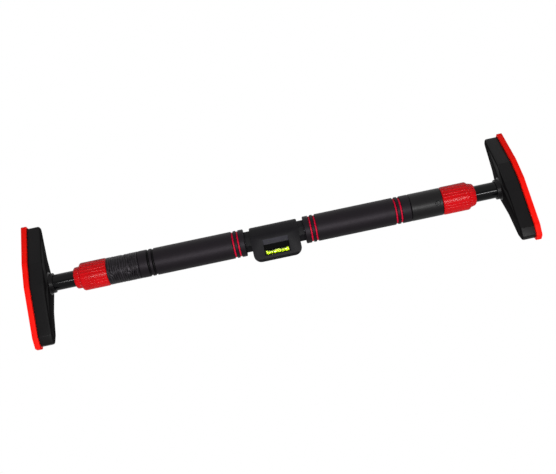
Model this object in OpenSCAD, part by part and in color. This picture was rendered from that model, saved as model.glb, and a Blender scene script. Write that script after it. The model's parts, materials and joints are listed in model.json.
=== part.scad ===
// Telescopic doorway pull up bar with a spirit level at its middle.
// X runs along the bar, Z is up in use and -Y faces the user.
// The origin is on the bar's axis, halfway between the two pads.
// Pieces of the right end are modelled at +X and mirrored for the left end.

/* [Whole bar] */
// Sliding tube in view between collar and end plate with the end pushed in
slide_show = 31.5; // [20:0.5:60]
// Turn of the left end plate about the bar, in degrees
left_turn = 4; // [-30:0.5:30]
// Turn of the right end plate about the bar, in degrees
right_turn = -11; // [-30:0.5:30]
// Turn of the level about the bar, which tips its window down to the user
level_turn = 20; // [0:1:45]

/* [Tubes] */
// Outer diameter of the main tube
tube_od = 28; // [27.6:0.1:28.4]
// Wall of the main tube
tube_wall = 1.5; // [1.2:0.1:1.6]
// How far the main tube stops short of the end sleeve's outer edge
tube_short = 6.6; // [5:0.2:9]
// Radial gap between the main tube's bore and the sliding tube
slide_gap = 0.5; // [0.4:0.05:0.7]
// Wall of the sliding tube
slide_wall = 1.5; // [1.2:0.1:2]
// Length of sliding tube hidden inside the bar when pushed in
slide_hidden = 196; // [185:1:230]
// Radial clearance of a running fit
run_fit = 0.08; // [0.04:0.01:0.1]
// Radial clearance between tubes and parts fixed on them
seat_fit = 0.05; // [0.02:0.01:0.08]

/* [Grips] */
// Length of one foam grip
grip_len = 156.6; // [145:0.2:165]
// Thickness of the foam over the main tube
foam_t = 6; // [5.6:0.1:7]
// Clearance left round the foam
foam_gap = 0.3; // [0.3:0.05:0.5]
// Width of the ring grooves in the foam
groove_w = 3; // [2.4:0.1:3.2]
// Depth of the ring grooves
groove_deep = 3.2; // [2.6:0.1:3.6]
// How far the rings lie under the foam's surface
ring_under = 1.4; // [0.8:0.1:1.6]
// First groove's middle, from the foam's inner end
groove_in_at = 9.4; // [6:0.1:14]
// Distance between the two grooves at the inner end
groove_in_step = 7.1; // [5:0.1:10]
// Outermost groove's middle, from the foam's outer end
groove_out_at = 14.9; // [8:0.1:18]
// Distance between the two grooves at the outer end
groove_out_step = 7.1; // [5:0.1:10]
// Rounding of the foam's ends
foam_round = 1.2; // [0.5:0.1:2]

/* [End sleeves and ferrules] */
// Length of the black end sleeve
sleeve_len = 46; // [44:0.5:52]
// Length of the ferrule's socket over the main tube
ferrule_socket = 34; // [28:0.5:36]
// Wall of the ferrule's socket
ferrule_wall = 2.8; // [2.6:0.1:3]
// Length of the ferrule's thread outside the sleeve
thread_len = 21.4; // [19:0.2:23]
// How far the thread stands over the ferrule's socket
thread_high = 0.2; // [0.1:0.05:0.4]
// Depth of the collet's seat in the ferrule
collet_seat = 6; // [5:0.2:7]

/* [Locking collars] */
// Gap between end sleeve and collar when locked
collar_gap = 0.4; // [0.3:0.1:1]
// Length of the collar's gripping part
collar_len = 39; // [37:0.5:44]
// Length of the collar's tapered nose
nose_len = 10; // [8:0.5:12]
// Wall between the collar's bore and its ribs
collar_wall = 2.3; // [2:0.1:3.2]
// Step from the collar's gripping part down to its nose
nose_step = 2.2; // [1.6:0.1:2.6]
// Wall of the nose at its tip
nose_wall = 1.8; // [1.4:0.1:2.4]
// Number of ribs round the collar
rib_count = 26; // [20:1:32]
// Width of one rib
rib_w = 2.6; // [2:0.1:3]
// Height of the ribs
rib_high = 1; // [0.6:0.1:1.2]
// Clearance between the collar's bore and the thread
thread_gap = 0.3; // [0.25:0.05:0.4]
// Radial clearance between the collar's nose and the sliding tube
nose_gap = 0.6; // [0.5:0.1:1]
// How far the collet ends inside the collar's gripping part
collet_back = 5; // [4.6:0.1:6]
// How far the clamp ring ends inside the collar's gripping part
clamp_back = 3; // [2.6:0.1:3.4]
// Length of the collet's cone
cone_len = 7; // [6:0.2:8]
// Radius that the cone loses over its length
cone_drop = 1.8; // [1.4:0.1:2]
// Width of the collet's slots
slot_w = 1.2; // [0.8:0.1:1.6]
// Clearance of the clamp ring on the cone
cone_gap = 0.15; // [0.1:0.05:0.3]

/* [Lock button] */
// Middle of the lock button, from the sleeve's outer edge
button_at = 7.6; // [7:0.1:9]
// Angle of the button under the horizontal, in degrees
button_dip = 27; // [0:1:60]
// Diameter of the button's cap
button_d = 7.6; // [6:0.1:8]
// Width of the button's flange round the cap
button_flange = 1; // [0.8:0.1:1.2]
// How far the cap stands over the sleeve
button_proud = 1; // [0.4:0.1:1.4]
// Travel of the button
button_travel = 1; // [0.6:0.1:1]

/* [End plates] */
// Height of the pad's top end over the axis
top_z = 93; // [90:0.5:96]
// Width of the pad at its top end
top_w = 14; // [12:0.5:18]
// Height of the upper shoulder over the axis
upper_z = 30; // [26:1:36]
// Width of the pad at the upper shoulder
upper_w = 47; // [44:1:50]
// Depth of the widest point under the axis
wide_z = 5; // [2:1:9]
// Largest width of the pad
wide_w = 52; // [51:1:58]
// Depth of the lower shoulder under the axis
lower_z = 79; // [74:1:82]
// Width of the pad at the lower shoulder
lower_w = 28; // [25:1:34]
// Depth of the pad's bottom end under the axis
base_z = 92.5; // [90:0.5:96]
// Width of the pad at its bottom end
base_w = 12; // [11:0.5:18]
// Thickness of the rubber pad
pad_t = 7.5; // [6:0.1:10]
// Gap between pad and plate body
pad_gap = 0.3; // [0.3:0.05:0.4]
// Overhang of the pad round the plate body
pad_over = 3.2; // [2:0.1:4]
// Rounding of the pad's corners
pad_round = 3; // [2:0.5:4]
// Width of the pad's tread grooves
tread_w = 2.4; // [1.6:0.1:3]
// Depth of the pad's tread grooves
tread_deep = 1.4; // [1:0.1:2]
// Spacing of the pad's tread grooves
tread_step = 8; // [6:0.5:10]
// Plain margin round the pad's tread
tread_margin = 5; // [3:0.5:7]
// Height of the plate body's side wall
rim_t = 19; // [17:0.5:20]
// Whole depth of the plate body up to its socket
body_t = 30.5; // [29.5:0.5:33]
// Wall of the plate body
body_wall = 3; // [2.4:0.1:3.4]
// Wall of the socket round its bush
socket_wall = 1.5; // [1.2:0.1:2]
// Step from the socket out to the sloping faces
peak_step = 1.9; // [1.2:0.1:3]
// Length of the socket that stands over the sloping faces
socket_high = 6.5; // [5:0.5:8]

/* [Plate fittings] */
// Thickness of the steel core plate
core_t = 3; // [2.5:0.1:4]
// Clearance of the core plate inside the body
core_gap = 0.5; // [0.3:0.1:1]
// Thread diameter of the plate screws
screw_d = 5; // [4:0.5:6]
// Length of the plate screws under the head
screw_len = 12; // [10:0.5:13]
// Height of the upper and lower plate screws over and under the axis
screw_z = 32; // [28:1:36]
// Sideways distance between the plate screws of a pair
screw_y = 16; // [14:1:18]
// Diameter of the swivel bolt
bolt_d = 10; // [8:0.5:11]
// Head diameter of the swivel bolt
bolt_head_d = 18; // [16:0.5:20]
// Head height of the swivel bolt
bolt_head_t = 3.6; // [3:0.1:4]
// Clearance between the swivel bolt's head and the body's open face
head_gap = 0.5; // [0.4:0.1:1]
// Thickness of the swivel washer
washer_t = 1.4; // [1:0.1:1.5]
// Length of the threaded plug in the sliding tube
plug_len = 22; // [18:0.5:26]
// Thickness of the plug's rim over the tube's end
plug_rim = 2; // [1.5:0.1:3]
// Length of the bush in the socket
bush_len = 15; // [12:0.5:16]
// Flange thickness of the bush
bush_flange = 3; // [2:0.2:4]
// Height of the bush's flange over its wall
bush_flange_high = 0.4; // [0.3:0.1:0.9]
// Wall of the bush
bush_wall = 1; // [0.8:0.1:1.2]
// Length of the guide at the sliding tube's inner end
guide_len = 25; // [20:1:27]
// Length of the guide's spigot inside the sliding tube
guide_in = 12; // [8:1:18]

/* [Level] */
// Length of the level housing along the bar
level_len = 70; // [66:0.5:76]
// Length of coupling sleeve that shows at each side of the housing
neck_show = 8.6; // [6:0.2:12]
// Wall of the coupling sleeve at its flats
neck_wall = 1; // [0.9:0.1:1.3]
// Clearance between housing and coupling sleeve
neck_gap = 0.15; // [0.1:0.05:0.3]
// Height of the housing over the coupling sleeve
level_over = 4.2; // [3.8:0.1:6]
// Thickness of the housing under the vial's pocket
level_under = 8.15; // [6:0.05:11]
// Distance of the housing's front face from the coupling sleeve
level_fore = 7; // [6.5:0.1:9]
// Distance of the belly's back face from the axis
level_back = 13; // [12:0.5:16]
// Rounding of the housing's lower corners
level_round = 11; // [6:0.5:12]
// Rounding of the housing's upper corners
level_top_round = 2.5; // [1:0.5:4]
// Length of the window past each end of the vial
window_past = 1.7; // [1:0.1:4]
// Top edge of the window under the axis
window_top = 2; // [1:0.5:4]
// Height of the window's sloping top
window_slope = 7.5; // [6:0.5:8]
// Depth of the window behind the housing's front face
window_deep = 4.6; // [4:0.1:5]
// Wall of the housing
shell_wall = 2.6; // [2.2:0.1:3]
// Gap between the two halves of the housing
shell_gap = 0.1; // [0.05:0.05:0.2]
// Half distance between the housing screws
level_screw_x = 26; // [24:0.5:27]
// Thread diameter of the housing screws
level_screw_d = 3; // [2.5:0.5:3.5]

/* [Vial] */
// Outer diameter of the vial
vial_d = 7; // [6.6:0.1:7.2]
// Length of liquid left past the bubble at each end of its travel
vial_spare = 3.3; // [2:0.1:4]
// Thickness of the housing between the coupling sleeve and the vial's pocket
vial_roof = 1.95; // [1.5:0.05:2.5]
// Wall of the vial
vial_wall = 0.75; // [0.6:0.05:0.9]
// Length of the plugs in the vial's ends
vial_plug = 3; // [2:0.2:4]
// Half distance between the two marks
mark_x = 6.5; // [5.5:0.1:8]
// Width of a mark
mark_w = 0.8; // [0.6:0.1:1.2]
// Thickness of a mark
mark_t = 0.2; // [0.15:0.05:0.25]
// Length of the bubble
bubble_len = 9; // [7:0.5:10]
// Travel of the bubble to each side
bubble_travel = 6; // [3:0.5:7]

/* [Hidden] */

$fn = 96;
cut = 1;               // how far a cutter runs past the face it opens
face_gap = 0.1;        // gap between flat faces that turn on each other
thin = 0.01;           // thickness of a hull's end slice
hull_fn = 32;          // facets of a round that goes into a hull
sleeve_edge = 0.6;     // bevel of the end sleeve's edges
collar_edge = 1.2;     // bevel of the collar's edges

ferrule_clear = 0.3;   // round the sliding tube in the ferrule
collet_over = 0.3;     // collet's flange over the main tube
collet_waist = 0.8;    // collet's fingers under its flange
collet_swell = 0.7;    // collet's cone over its flange
slot_from = 1;         // start of the collet's slots past the ferrule
clamp_end = 0.6;       // clamp ring past the collet's end
guide_wall = 2.5;      // wall of the guide in the sliding tube

button_gap = 0.15;     // round the button's cap
button_side = 0.3;     // round the button's flange
button_lip = 2;        // sleeve left over the flange
button_flange_t = 1;
spring_room = 1.05;    // left under the pressed button for its spring
spring_t = 0.4;

screw_clear = 0.3;     // round a plate screw in the core plate
screw_end = 0.5;       // hole left past a plate screw's tip
boss_wall = 3;         // wall round a plate screw
inner_round = 1;       // corner rounding inside a plate and on its core
boss_skin = 1;         // how far the bosses stay inside the sloping faces
drive_slot = 1;        // width of the plate screws' cross slots

vial_clear = 0.4;      // round the vial in its pocket
vial_inset = 1;        // vial behind the housing's front face
vial_recess = 0.2;     // plugs inside the vial's ends
bubble_gap = 0.3;      // between bubble and vial wall
bubble_bevel = 1.2;
liquid_top = 1.05;     // surface of the liquid over the vial's middle
bubble_low = 1.25;     // underside of the bubble over the vial's middle
belly_roof = 1.4;      // housing over the hollow in its belly
belly_side = 2;        // housing between that hollow and the screws' heads
level_screw_up = 9;    // housing screws over the housing's bottom
level_screw_in = 8;    // how far they go into the front half
level_seat = 4;        // depth of their heads' seats
level_seat_gap = 0.2;  // round their heads

tube_r = tube_od / 2;
tube_ri = tube_r - tube_wall;
slide_r = tube_ri - slide_gap;
slide_ri = slide_r - slide_wall;
grip_r = tube_r + foam_t;

// stations along the bar, from its middle outwards
neck_x = level_len / 2 + neck_show;
grip_x0 = neck_x + foam_gap;
grip_x1 = grip_x0 + grip_len;
sleeve_x0 = grip_x1 + foam_gap;
sleeve_x1 = sleeve_x0 + sleeve_len;
tube_x1 = sleeve_x1 - tube_short;
ferrule_x0 = tube_x1 - ferrule_socket;
ferrule_x1 = sleeve_x1 + thread_len;
collar_x0 = sleeve_x1 + collar_gap;
collar_x1 = collar_x0 + collar_len;
nose_x1 = collar_x1 + nose_len;
body_x0 = nose_x1 + slide_show;
peak_x = body_x0 + socket_high;
body_x1 = body_x0 + body_t;
rim_x0 = body_x1 - rim_t;
pad_x0 = body_x1 + pad_gap;
pad_x1 = pad_x0 + pad_t;
core_deep = 2 * face_gap + washer_t + bolt_head_t + head_gap;
core_x1 = body_x1 - core_deep;
core_x0 = core_x1 - core_t;
slide_x1 = core_x0 - face_gap - plug_rim;
slide_x0 = nose_x1 - slide_hidden;

// middles of the ring grooves in a grip
groove_in = [grip_x0 + groove_in_at, grip_x0 + groove_in_at + groove_in_step];
groove_out = [grip_x1 - groove_out_at - groove_out_step, grip_x1 - groove_out_at];

// ferrule, collet, clamp ring and collar share these radii
ferrule_ri = slide_r + ferrule_clear;
ferrule_r = tube_r + ferrule_wall;
thread_r = ferrule_r + thread_high;
collet_ri = slide_r + run_fit;
collet_flange_r = tube_r + collet_over;
collet_r = collet_flange_r - collet_waist;
collet_cone_r = collet_flange_r + collet_swell;
collet_x0 = ferrule_x1 - collet_seat + face_gap;
collet_x1 = collar_x1 - collet_back;
cone_x0 = collet_x1 - cone_len;
cone_tip_r = collet_cone_r - cone_drop;
clamp_r = thread_r;
clamp_x1 = collar_x1 - clamp_back;
collar_ri = thread_r + thread_gap;
collar_r = collar_ri + collar_wall;
collar_inner_x = clamp_x1 + face_gap / 2;
nose_ri = slide_r + nose_gap;
nose_root_r = collar_r - nose_step;
nose_tip_r = nose_ri + nose_wall;

button_x = sleeve_x1 - button_at;
button_r = button_d / 2;
button_flange_r = button_r + button_flange;
button_flange_top = grip_r - button_lip - face_gap;
button_low = button_flange_top - button_flange_t;
button_floor = button_low - button_travel - spring_room;

bush_r = slide_r + run_fit + bush_wall;
socket_ri = bush_r + seat_fit;
socket_r = socket_ri + socket_wall;
peak_r = socket_r + peak_step;
screw_r = screw_d / 2;
screw_head_r = screw_d * 0.9;
screw_head_t = screw_d * 0.5;
screw_spots = [for (z = [-screw_z, screw_z], y = [-screw_y / 2, screw_y / 2]) [0, y, z]];
bolt_r = bolt_d / 2;

neck_flat_r = tube_r + neck_wall;
neck_bore_r = neck_flat_r + neck_gap;
level_top = neck_flat_r + level_over;
level_front = neck_flat_r + level_fore;
vial_r = vial_d / 2;
vial_ri = vial_r - vial_wall;
vial_x = bubble_len / 2 + bubble_travel + vial_spare + vial_plug;
liquid_x = vial_x - vial_plug - face_gap;
window_x = vial_x + window_past;
vial_y = vial_r + vial_inset - level_front;
pocket_top = neck_bore_r + vial_roof;
vial_under = pocket_top + vial_clear + vial_r;
vial_floor = vial_under + vial_r + mark_t + 1.5 * face_gap;
level_bottom = vial_floor + level_under;
level_screw_z = level_screw_up - level_bottom;

red = "#d3122a";
black = "#19181b";

// outline of the pad as [height, half width], from the top down one side and back up the other
function pad_outline() = [
    [top_z, top_w / 2],
    [upper_z, upper_w / 2],
    [-wide_z, wide_w / 2],
    [-lower_z, lower_w / 2],
    [-base_z, base_w / 2],
    [-base_z, -base_w / 2],
    [-lower_z, -lower_w / 2],
    [-wide_z, -wide_w / 2],
    [upper_z, -upper_w / 2],
    [top_z, -top_w / 2]
];

// the same points in the plane that linear_extrude raises
function pad_points() = [for (p = pad_outline()) [-p[0], p[1]]];

function turned_in(a, b) = let (d = (b - a) / norm(b - a)) [d[1], -d[0]];
function next_of(pts, i) = pts[(i + 1) % len(pts)];
function last_of(pts, i) = pts[(i + len(pts) - 1) % len(pts)];
// moves a corner inwards by d along both of its edges
function corner_in(pts, i, d) =
    let (n0 = turned_in(last_of(pts, i), pts[i]), n1 = turned_in(pts[i], next_of(pts, i)))
    pts[i] + d * (n0 + n1) / (1 + n0 * n1);
function inset(pts, d) = [for (i = [0 : len(pts) - 1]) corner_in(pts, i, d)];
function signed_turn(n0, n1) = atan2(n0[0] * n1[1] - n0[1] * n1[0], n0 * n1);
// points of the arc that rounds one corner
function corner_arc(pts, i, r, steps) =
    let (n0 = turned_in(last_of(pts, i), pts[i]), n1 = turned_in(pts[i], next_of(pts, i)))
    let (c = corner_in(pts, i, r), a0 = atan2(n0[1], n0[0]), turn = signed_turn(n0, n1))
    [for (k = [0 : steps]) c - r * [cos(a0 + turn * k / steps), sin(a0 + turn * k / steps)]];
function rounded(pts, rs, steps) = [for (i = [0 : len(pts) - 1]) each corner_arc(pts, i, rs[i], steps)];
function same(n, v) = [for (i = [1 : n]) v];

// cylinder along the bar
module rod(x0, x1, r) {
    translate([x0, 0, 0])
        rotate([0, 90, 0])
            cylinder(h = x1 - x0, r = r);
}

// tube along the bar
module pipe(x0, x1, r, ri) {
    difference() {
        rod(x0, x1, r);
        rod(x0 - cut, x1 + cut, ri);
    }
}

// turns a profile of [radius, station] points round the bar's axis
module turned(points) {
    rotate([0, 90, 0])
        rotate_extrude()
            polygon(points);
}

// places a right end's piece at the left end
module on_left() {
    mirror([1, 0, 0])
        children();
}

// slab of the end plate's outline, drawn in by some distance
module slab(x0, x1, in, r) {
    pts = rounded(inset(pad_points(), in), same(10, r), 4);
    translate([x0, 0, 0])
        rotate([0, 90, 0])
            linear_extrude(x1 - x0)
                polygon(pts);
}

// ---------- middle of the bar ----------

module main_tube() {
    color("dimgray")
        pipe(-tube_x1, tube_x1, tube_r, tube_ri);
}

// eight-sided bar with a flat on top
module octagon_bar(x, flat_r) {
    translate([-x, 0, 0])
        rotate([22.5, 0, 0])
            rotate([0, 90, 0])
                cylinder(h = 2 * x, r = flat_r / cos(22.5), $fn = 8);
}

module coupling_sleeve() {
    color("#1b1a1d")
        difference() {
            rotate([level_turn, 0, 0])
                octagon_bar(neck_x, neck_flat_r);
            rod(-neck_x - cut, neck_x + cut, tube_r + seat_fit);
        }
}

// section of the level housing across the bar, as [y, z]
module level_section() {
    bevel = 4;
    brow_z = 3;
    brow_high = 4;
    brow_in = 2;
    top = [for (a = [42 : -6 : -96]) level_top * [-sin(a), cos(a)]];
    polygon(concat(
        [
            [-level_front, bevel - level_bottom],
            [-level_front, brow_z],
            [brow_in - level_front, brow_z + brow_high]
        ],
        top,
        [
            [level_back, bevel - level_bottom],
            [level_back - bevel, -level_bottom],
            [bevel - level_front, -level_bottom]
        ]
    ));
}

// outline of the level housing seen from the front, as [x, z]
module level_outline() {
    pts = [
        [-level_len / 2, -level_bottom],
        [-level_len / 2, level_top],
        [level_len / 2, level_top],
        [level_len / 2, -level_bottom]
    ];
    rs = [level_round, level_top_round, level_top_round, level_round];
    polygon(rounded(pts, rs, 12));
}

module level_block() {
    intersection() {
        translate([-level_len / 2, 0, 0])
            rotate([90, 0, 90])
                linear_extrude(level_len)
                    level_section();
        translate([0, level_top + cut, 0])
            rotate([90, 0, 0])
                linear_extrude(level_front + level_top + 2 * cut)
                    level_outline();
    }
}

// window with its sloping top and the pocket that holds the vial
module window_cut() {
    back = window_deep - level_front;
    pocket_back = vial_y + vial_r + vial_clear;
    slope_end = -window_top - window_slope;
    translate([-window_x, 0, 0])
        rotate([90, 0, 90])
            linear_extrude(2 * window_x)
                polygon([
                    [-level_front - cut, -window_top],
                    [-level_front, -window_top],
                    [back, slope_end],
                    [back, -pocket_top],
                    [pocket_back, -pocket_top],
                    [pocket_back, -vial_floor],
                    [-level_front - cut, -vial_floor]
                ]);
}

// hollow of the belly behind the window
module belly_cut() {
    y0 = vial_y + vial_r + vial_clear + shell_wall;
    y1 = level_back - shell_wall;
    z0 = shell_wall - level_bottom;
    z1 = -neck_bore_r / cos(22.5) - belly_roof;
    x = level_screw_x - level_screw_d - belly_side;
    translate([-x, y0, z0])
        cube([2 * x, y1 - y0, z1 - z0]);
}

// holes of the two screws that close the housing from behind
module level_screw_holes() {
    for (s = [-1, 1])
        translate([s * level_screw_x, 0, level_screw_z]) {
            rotate([90, 0, 0])
                cylinder(h = level_screw_in + level_seat, r = level_screw_d / 2 + seat_fit);
            rotate([-90, 0, 0])
                cylinder(h = level_back + cut, r = level_screw_d / 2 + level_seat_gap);
            translate([0, level_back - level_seat, 0])
                rotate([-90, 0, 0])
                    cylinder(h = level_seat + cut, r = level_screw_d + level_seat_gap);
        }
}

module level_half(front) {
    far = level_front + level_top;
    rotate([level_turn, 0, 0])
        difference() {
            level_block();
            octagon_bar(level_len, neck_bore_r);
            window_cut();
            belly_cut();
            level_screw_holes();
            translate([-level_len, front ? -shell_gap / 2 : -far, -far])
                cube([2 * level_len, front ? far : far + shell_gap / 2, 3 * far]);
        }
}

module level_front_shell() {
    color("#201f22")
        level_half(true);
}

module level_back_shell() {
    color("#201f22")
        level_half(false);
}

module level_screws() {
    head_t = level_screw_d * 0.7;
    slot = level_screw_d * 0.24;
    color("#3a3a3c")
        rotate([level_turn, 0, 0])
            for (s = [-1, 1])
                translate([s * level_screw_x, level_back - level_seat, level_screw_z])
                    difference() {
                        union() {
                            rotate([90, 0, 0])
                                cylinder(h = level_back - level_seat + level_screw_in, r = level_screw_d / 2);
                            rotate([-90, 0, 0])
                                cylinder(h = head_t, r = level_screw_d * 0.95);
                        }
                        for (a = [0, 90])
                            rotate([0, a, 0])
                                translate([-level_screw_d / 2, head_t / 2, -slot / 2])
                                    cube([level_screw_d, head_t, slot]);
                    }
}

// ---------- vial ----------

module at_vial() {
    rotate([level_turn, 0, 0])
        translate([0, vial_y, -vial_under])
            children();
}

module vial_tube() {
    color("#e4f08a")
        at_vial()
            pipe(-vial_x, vial_x, vial_r, vial_ri);
}

module vial_plugs() {
    color("#c8dc1e")
        at_vial()
            for (s = [0, 1])
                mirror([s, 0, 0])
                    rod(vial_x - vial_plug, vial_x - vial_recess, vial_ri - seat_fit);
}

// the liquid is cut flat under the bubble's track
module vial_liquid() {
    color("#d2ec14")
        at_vial()
            difference() {
                rod(-liquid_x, liquid_x, vial_ri - seat_fit);
                translate([-vial_x, -vial_r, liquid_top])
                    cube([2 * vial_x, vial_d, vial_r]);
            }
}

module vial_marks() {
    color("#1e2408")
        at_vial()
            for (s = [-1, 1])
                pipe(s * mark_x - mark_w / 2, s * mark_x + mark_w / 2, vial_r + mark_t, vial_r + thin);
}

module vial_bubble() {
    half = bubble_len / 2;
    r = vial_ri - bubble_gap;
    color("#f2f8c8")
        at_vial()
            intersection() {
                turned([
                    [0, -half],
                    [r - bubble_bevel, -half],
                    [r, bubble_bevel - half],
                    [r, half - bubble_bevel],
                    [r - bubble_bevel, half],
                    [0, half]
                ]);
                translate([-half - cut, -vial_r, bubble_low])
                    cube([bubble_len + 2 * cut, vial_d, vial_r]);
            }
}

// ---------- grips ----------

module foam_grip() {
    a = foam_round * (1 - cos(45));
    color("#242327")
        difference() {
            turned([
                [tube_r + foam_gap, grip_x0],
                [grip_r - foam_round, grip_x0],
                [grip_r - a, grip_x0 + a],
                [grip_r, grip_x0 + foam_round],
                [grip_r, grip_x1 - foam_round],
                [grip_r - a, grip_x1 - a],
                [grip_r - foam_round, grip_x1],
                [tube_r + foam_gap, grip_x1]
            ]);
            for (x = concat(groove_in, groove_out))
                pipe(x - groove_w / 2, x + groove_w / 2, grip_r + cut, grip_r - groove_deep);
        }
}

module grip_rings(places, paint) {
    color(paint)
        for (x = places)
            pipe(
                x - groove_w / 2 + foam_gap,
                x + groove_w / 2 - foam_gap,
                grip_r - ring_under,
                grip_r - groove_deep + foam_gap
            );
}

// ---------- end sleeve, ferrule and collet ----------

// moves to the lock button's axis, which then points outwards along Z
module at_button() {
    translate([button_x, 0, 0])
        rotate([90 + button_dip, 0, 0])
            children();
}

module button_pocket() {
    at_button() {
        translate([0, 0, button_floor])
            cylinder(h = grip_r - button_lip - button_floor, r = button_flange_r + button_side);
        translate([0, 0, button_floor])
            cylinder(h = grip_r, r = button_r + button_gap);
    }
}

module end_sleeve(with_button) {
    shoulder = ferrule_x0 - face_gap;
    color("#1d1c20")
        difference() {
            turned([
                [tube_r + seat_fit, sleeve_x0],
                [grip_r - sleeve_edge, sleeve_x0],
                [grip_r, sleeve_x0 + sleeve_edge],
                [grip_r, sleeve_x1 - sleeve_edge],
                [grip_r - sleeve_edge, sleeve_x1],
                [ferrule_r + seat_fit, sleeve_x1],
                [ferrule_r + seat_fit, shoulder],
                [tube_r + seat_fit, shoulder]
            ]);
            if (with_button)
                button_pocket();
        }
}

module ferrule(with_button) {
    seat_x = ferrule_x1 - collet_seat;
    color("#2a2a2e")
        difference() {
            turned([
                [tube_r + seat_fit, ferrule_x0],
                [ferrule_r, ferrule_x0],
                [ferrule_r, sleeve_x1 + face_gap],
                [thread_r, sleeve_x1 + face_gap],
                [thread_r, ferrule_x1],
                [collet_flange_r + face_gap, ferrule_x1],
                [collet_flange_r + face_gap, seat_x],
                [ferrule_ri, seat_x],
                [ferrule_ri, tube_x1 + face_gap],
                [tube_r + seat_fit, tube_x1 + face_gap]
            ]);
            if (with_button)
                button_pocket();
        }
}

module collet() {
    waist_end = 1;
    slot_x0 = ferrule_x1 + slot_from;
    color("#d8d6cf")
        difference() {
            turned([
                [collet_ri, collet_x0],
                [collet_flange_r, collet_x0],
                [collet_flange_r, ferrule_x1],
                [collet_r, ferrule_x1],
                [collet_r, cone_x0 - waist_end],
                [collet_cone_r, cone_x0],
                [cone_tip_r, collet_x1],
                [collet_ri, collet_x1]
            ]);
            for (a = [0, 60, 120])
                rotate([a, 0, 0])
                    translate([slot_x0, -collet_cone_r - cut, -slot_w / 2])
                        cube([collet_x1 - slot_x0 + cut, 2 * (collet_cone_r + cut), slot_w]);
        }
}

// steel ring that the collar pushes onto the collet's cone
module clamp_ring() {
    color("silver")
        turned([
            [collet_cone_r + cone_gap, cone_x0],
            [clamp_r, cone_x0],
            [clamp_r, clamp_x1],
            [nose_ri, clamp_x1],
            [nose_ri, collet_x1 + clamp_end],
            [cone_tip_r + cone_gap, collet_x1 + clamp_end],
            [cone_tip_r + cone_gap, collet_x1]
        ]);
}

// ---------- locking collar ----------

// one rib along the grip, then one down the nose
module collar_rib() {
    rib_r = rib_w / 2;
    slope = atan((nose_root_r - nose_tip_r) / nose_len);
    run_in = 2;
    translate([collar_x0 + collar_edge, 0, collar_r + rib_high - rib_r])
        rotate([0, 90, 0])
            cylinder(h = collar_len - 2 * collar_edge, r = rib_r, $fn = 24);
    translate([collar_x1 - run_in, 0, nose_root_r - rib_r + run_in * tan(slope)])
        rotate([0, 90 + slope, 0])
            cylinder(h = nose_len + cut, r = rib_r * 0.8, $fn = 24);
}

module collar() {
    color("#d80f1c")
        intersection() {
            difference() {
                union() {
                    turned([
                        [0, collar_x0],
                        [collar_r - collar_edge, collar_x0],
                        [collar_r, collar_x0 + collar_edge],
                        [collar_r, collar_x1 - collar_edge],
                        [collar_r - collar_edge, collar_x1],
                        [nose_root_r, collar_x1],
                        [nose_tip_r, nose_x1],
                        [0, nose_x1]
                    ]);
                    for (k = [0 : rib_count - 1])
                        rotate([360 * k / rib_count, 0, 0])
                            collar_rib();
                }
                rod(collar_x0 - cut, collar_inner_x, collar_ri);
                rod(collar_x0, nose_x1 + cut, nose_ri);
            }
            rod(collar_x0, nose_x1, 2 * collar_r);
        }
}

// ---------- lock button ----------

module lock_button() {
    cap_top = grip_r + button_proud;
    dome_r = 3 * button_r;
    color("#26252a")
        at_button() {
            translate([0, 0, button_low])
                cylinder(h = button_flange_t, r = button_flange_r);
            intersection() {
                translate([0, 0, button_low])
                    cylinder(h = cap_top - button_low, r = button_r);
                translate([0, 0, cap_top - dome_r])
                    sphere(r = dome_r);
            }
        }
}

// dished spring washer under the button
module button_spring() {
    clear = 0.05;
    bore_r = button_r * 0.42;
    rim_r = button_flange_r - button_gap;
    rise = spring_room - clear - 2 * face_gap;
    color("silver")
        at_button()
            translate([0, 0, button_floor + clear])
                rotate_extrude()
                    polygon([
                        [bore_r, rise - spring_t],
                        [bore_r, rise],
                        [rim_r, spring_t],
                        [rim_r, 0]
                    ]);
}

// ---------- sliding tube and swivel ----------

module slide_tube() {
    color("#121214")
        pipe(slide_x0, slide_x1, slide_r, slide_ri);
}

// nylon guide that runs in the main tube
module guide() {
    color("#e8e6dc")
        difference() {
            union() {
                rod(slide_x0 - guide_len + guide_in, slide_x0, tube_ri - run_fit);
                rod(slide_x0 - cut, slide_x0 + guide_in, slide_ri - seat_fit);
            }
            rod(slide_x0 - guide_len, slide_x0 + guide_in + cut, slide_ri - guide_wall);
        }
}

// threaded steel plug in the sliding tube's outer end
module tube_plug() {
    color("gray")
        difference() {
            union() {
                rod(slide_x1 - plug_len, slide_x1, slide_ri - seat_fit);
                rod(slide_x1, slide_x1 + plug_rim, slide_r);
            }
            rod(slide_x1 - plug_len - cut, slide_x1 + plug_rim + cut, bolt_r + seat_fit);
        }
}

module swivel_bolt() {
    tip_short = 4;
    head_x0 = core_x1 + 2 * face_gap + washer_t;
    hex_r = bolt_r * 0.62;
    hex_floor = bolt_head_t * 0.35;
    color("silver")
        difference() {
            union() {
                rod(slide_x1 - plug_len + tip_short, head_x0, bolt_r);
                rod(head_x0, head_x0 + bolt_head_t, bolt_head_d / 2);
            }
            translate([head_x0 + hex_floor, 0, 0])
                rotate([0, 90, 0])
                    cylinder(h = bolt_head_t, r = hex_r, $fn = 6);
        }
}

module swivel_washer() {
    rim = 1;
    x0 = core_x1 + face_gap;
    color("silver")
        pipe(x0, x0 + washer_t, bolt_head_d / 2 + rim, bolt_r + run_fit);
}

// ---------- end plate ----------

// outer form: side wall, sloping faces and socket
module plate_form(in, edge_r, r_peak, x_peak, x_rim, x_open) {
    slab(x_rim, x_open, in, edge_r);
    hull() {
        slab(x_rim, x_rim + thin, in, edge_r);
        translate([x_peak, 0, 0])
            rotate([0, 90, 0])
                cylinder(h = thin, r = r_peak, $fn = hull_fn);
    }
}

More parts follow.
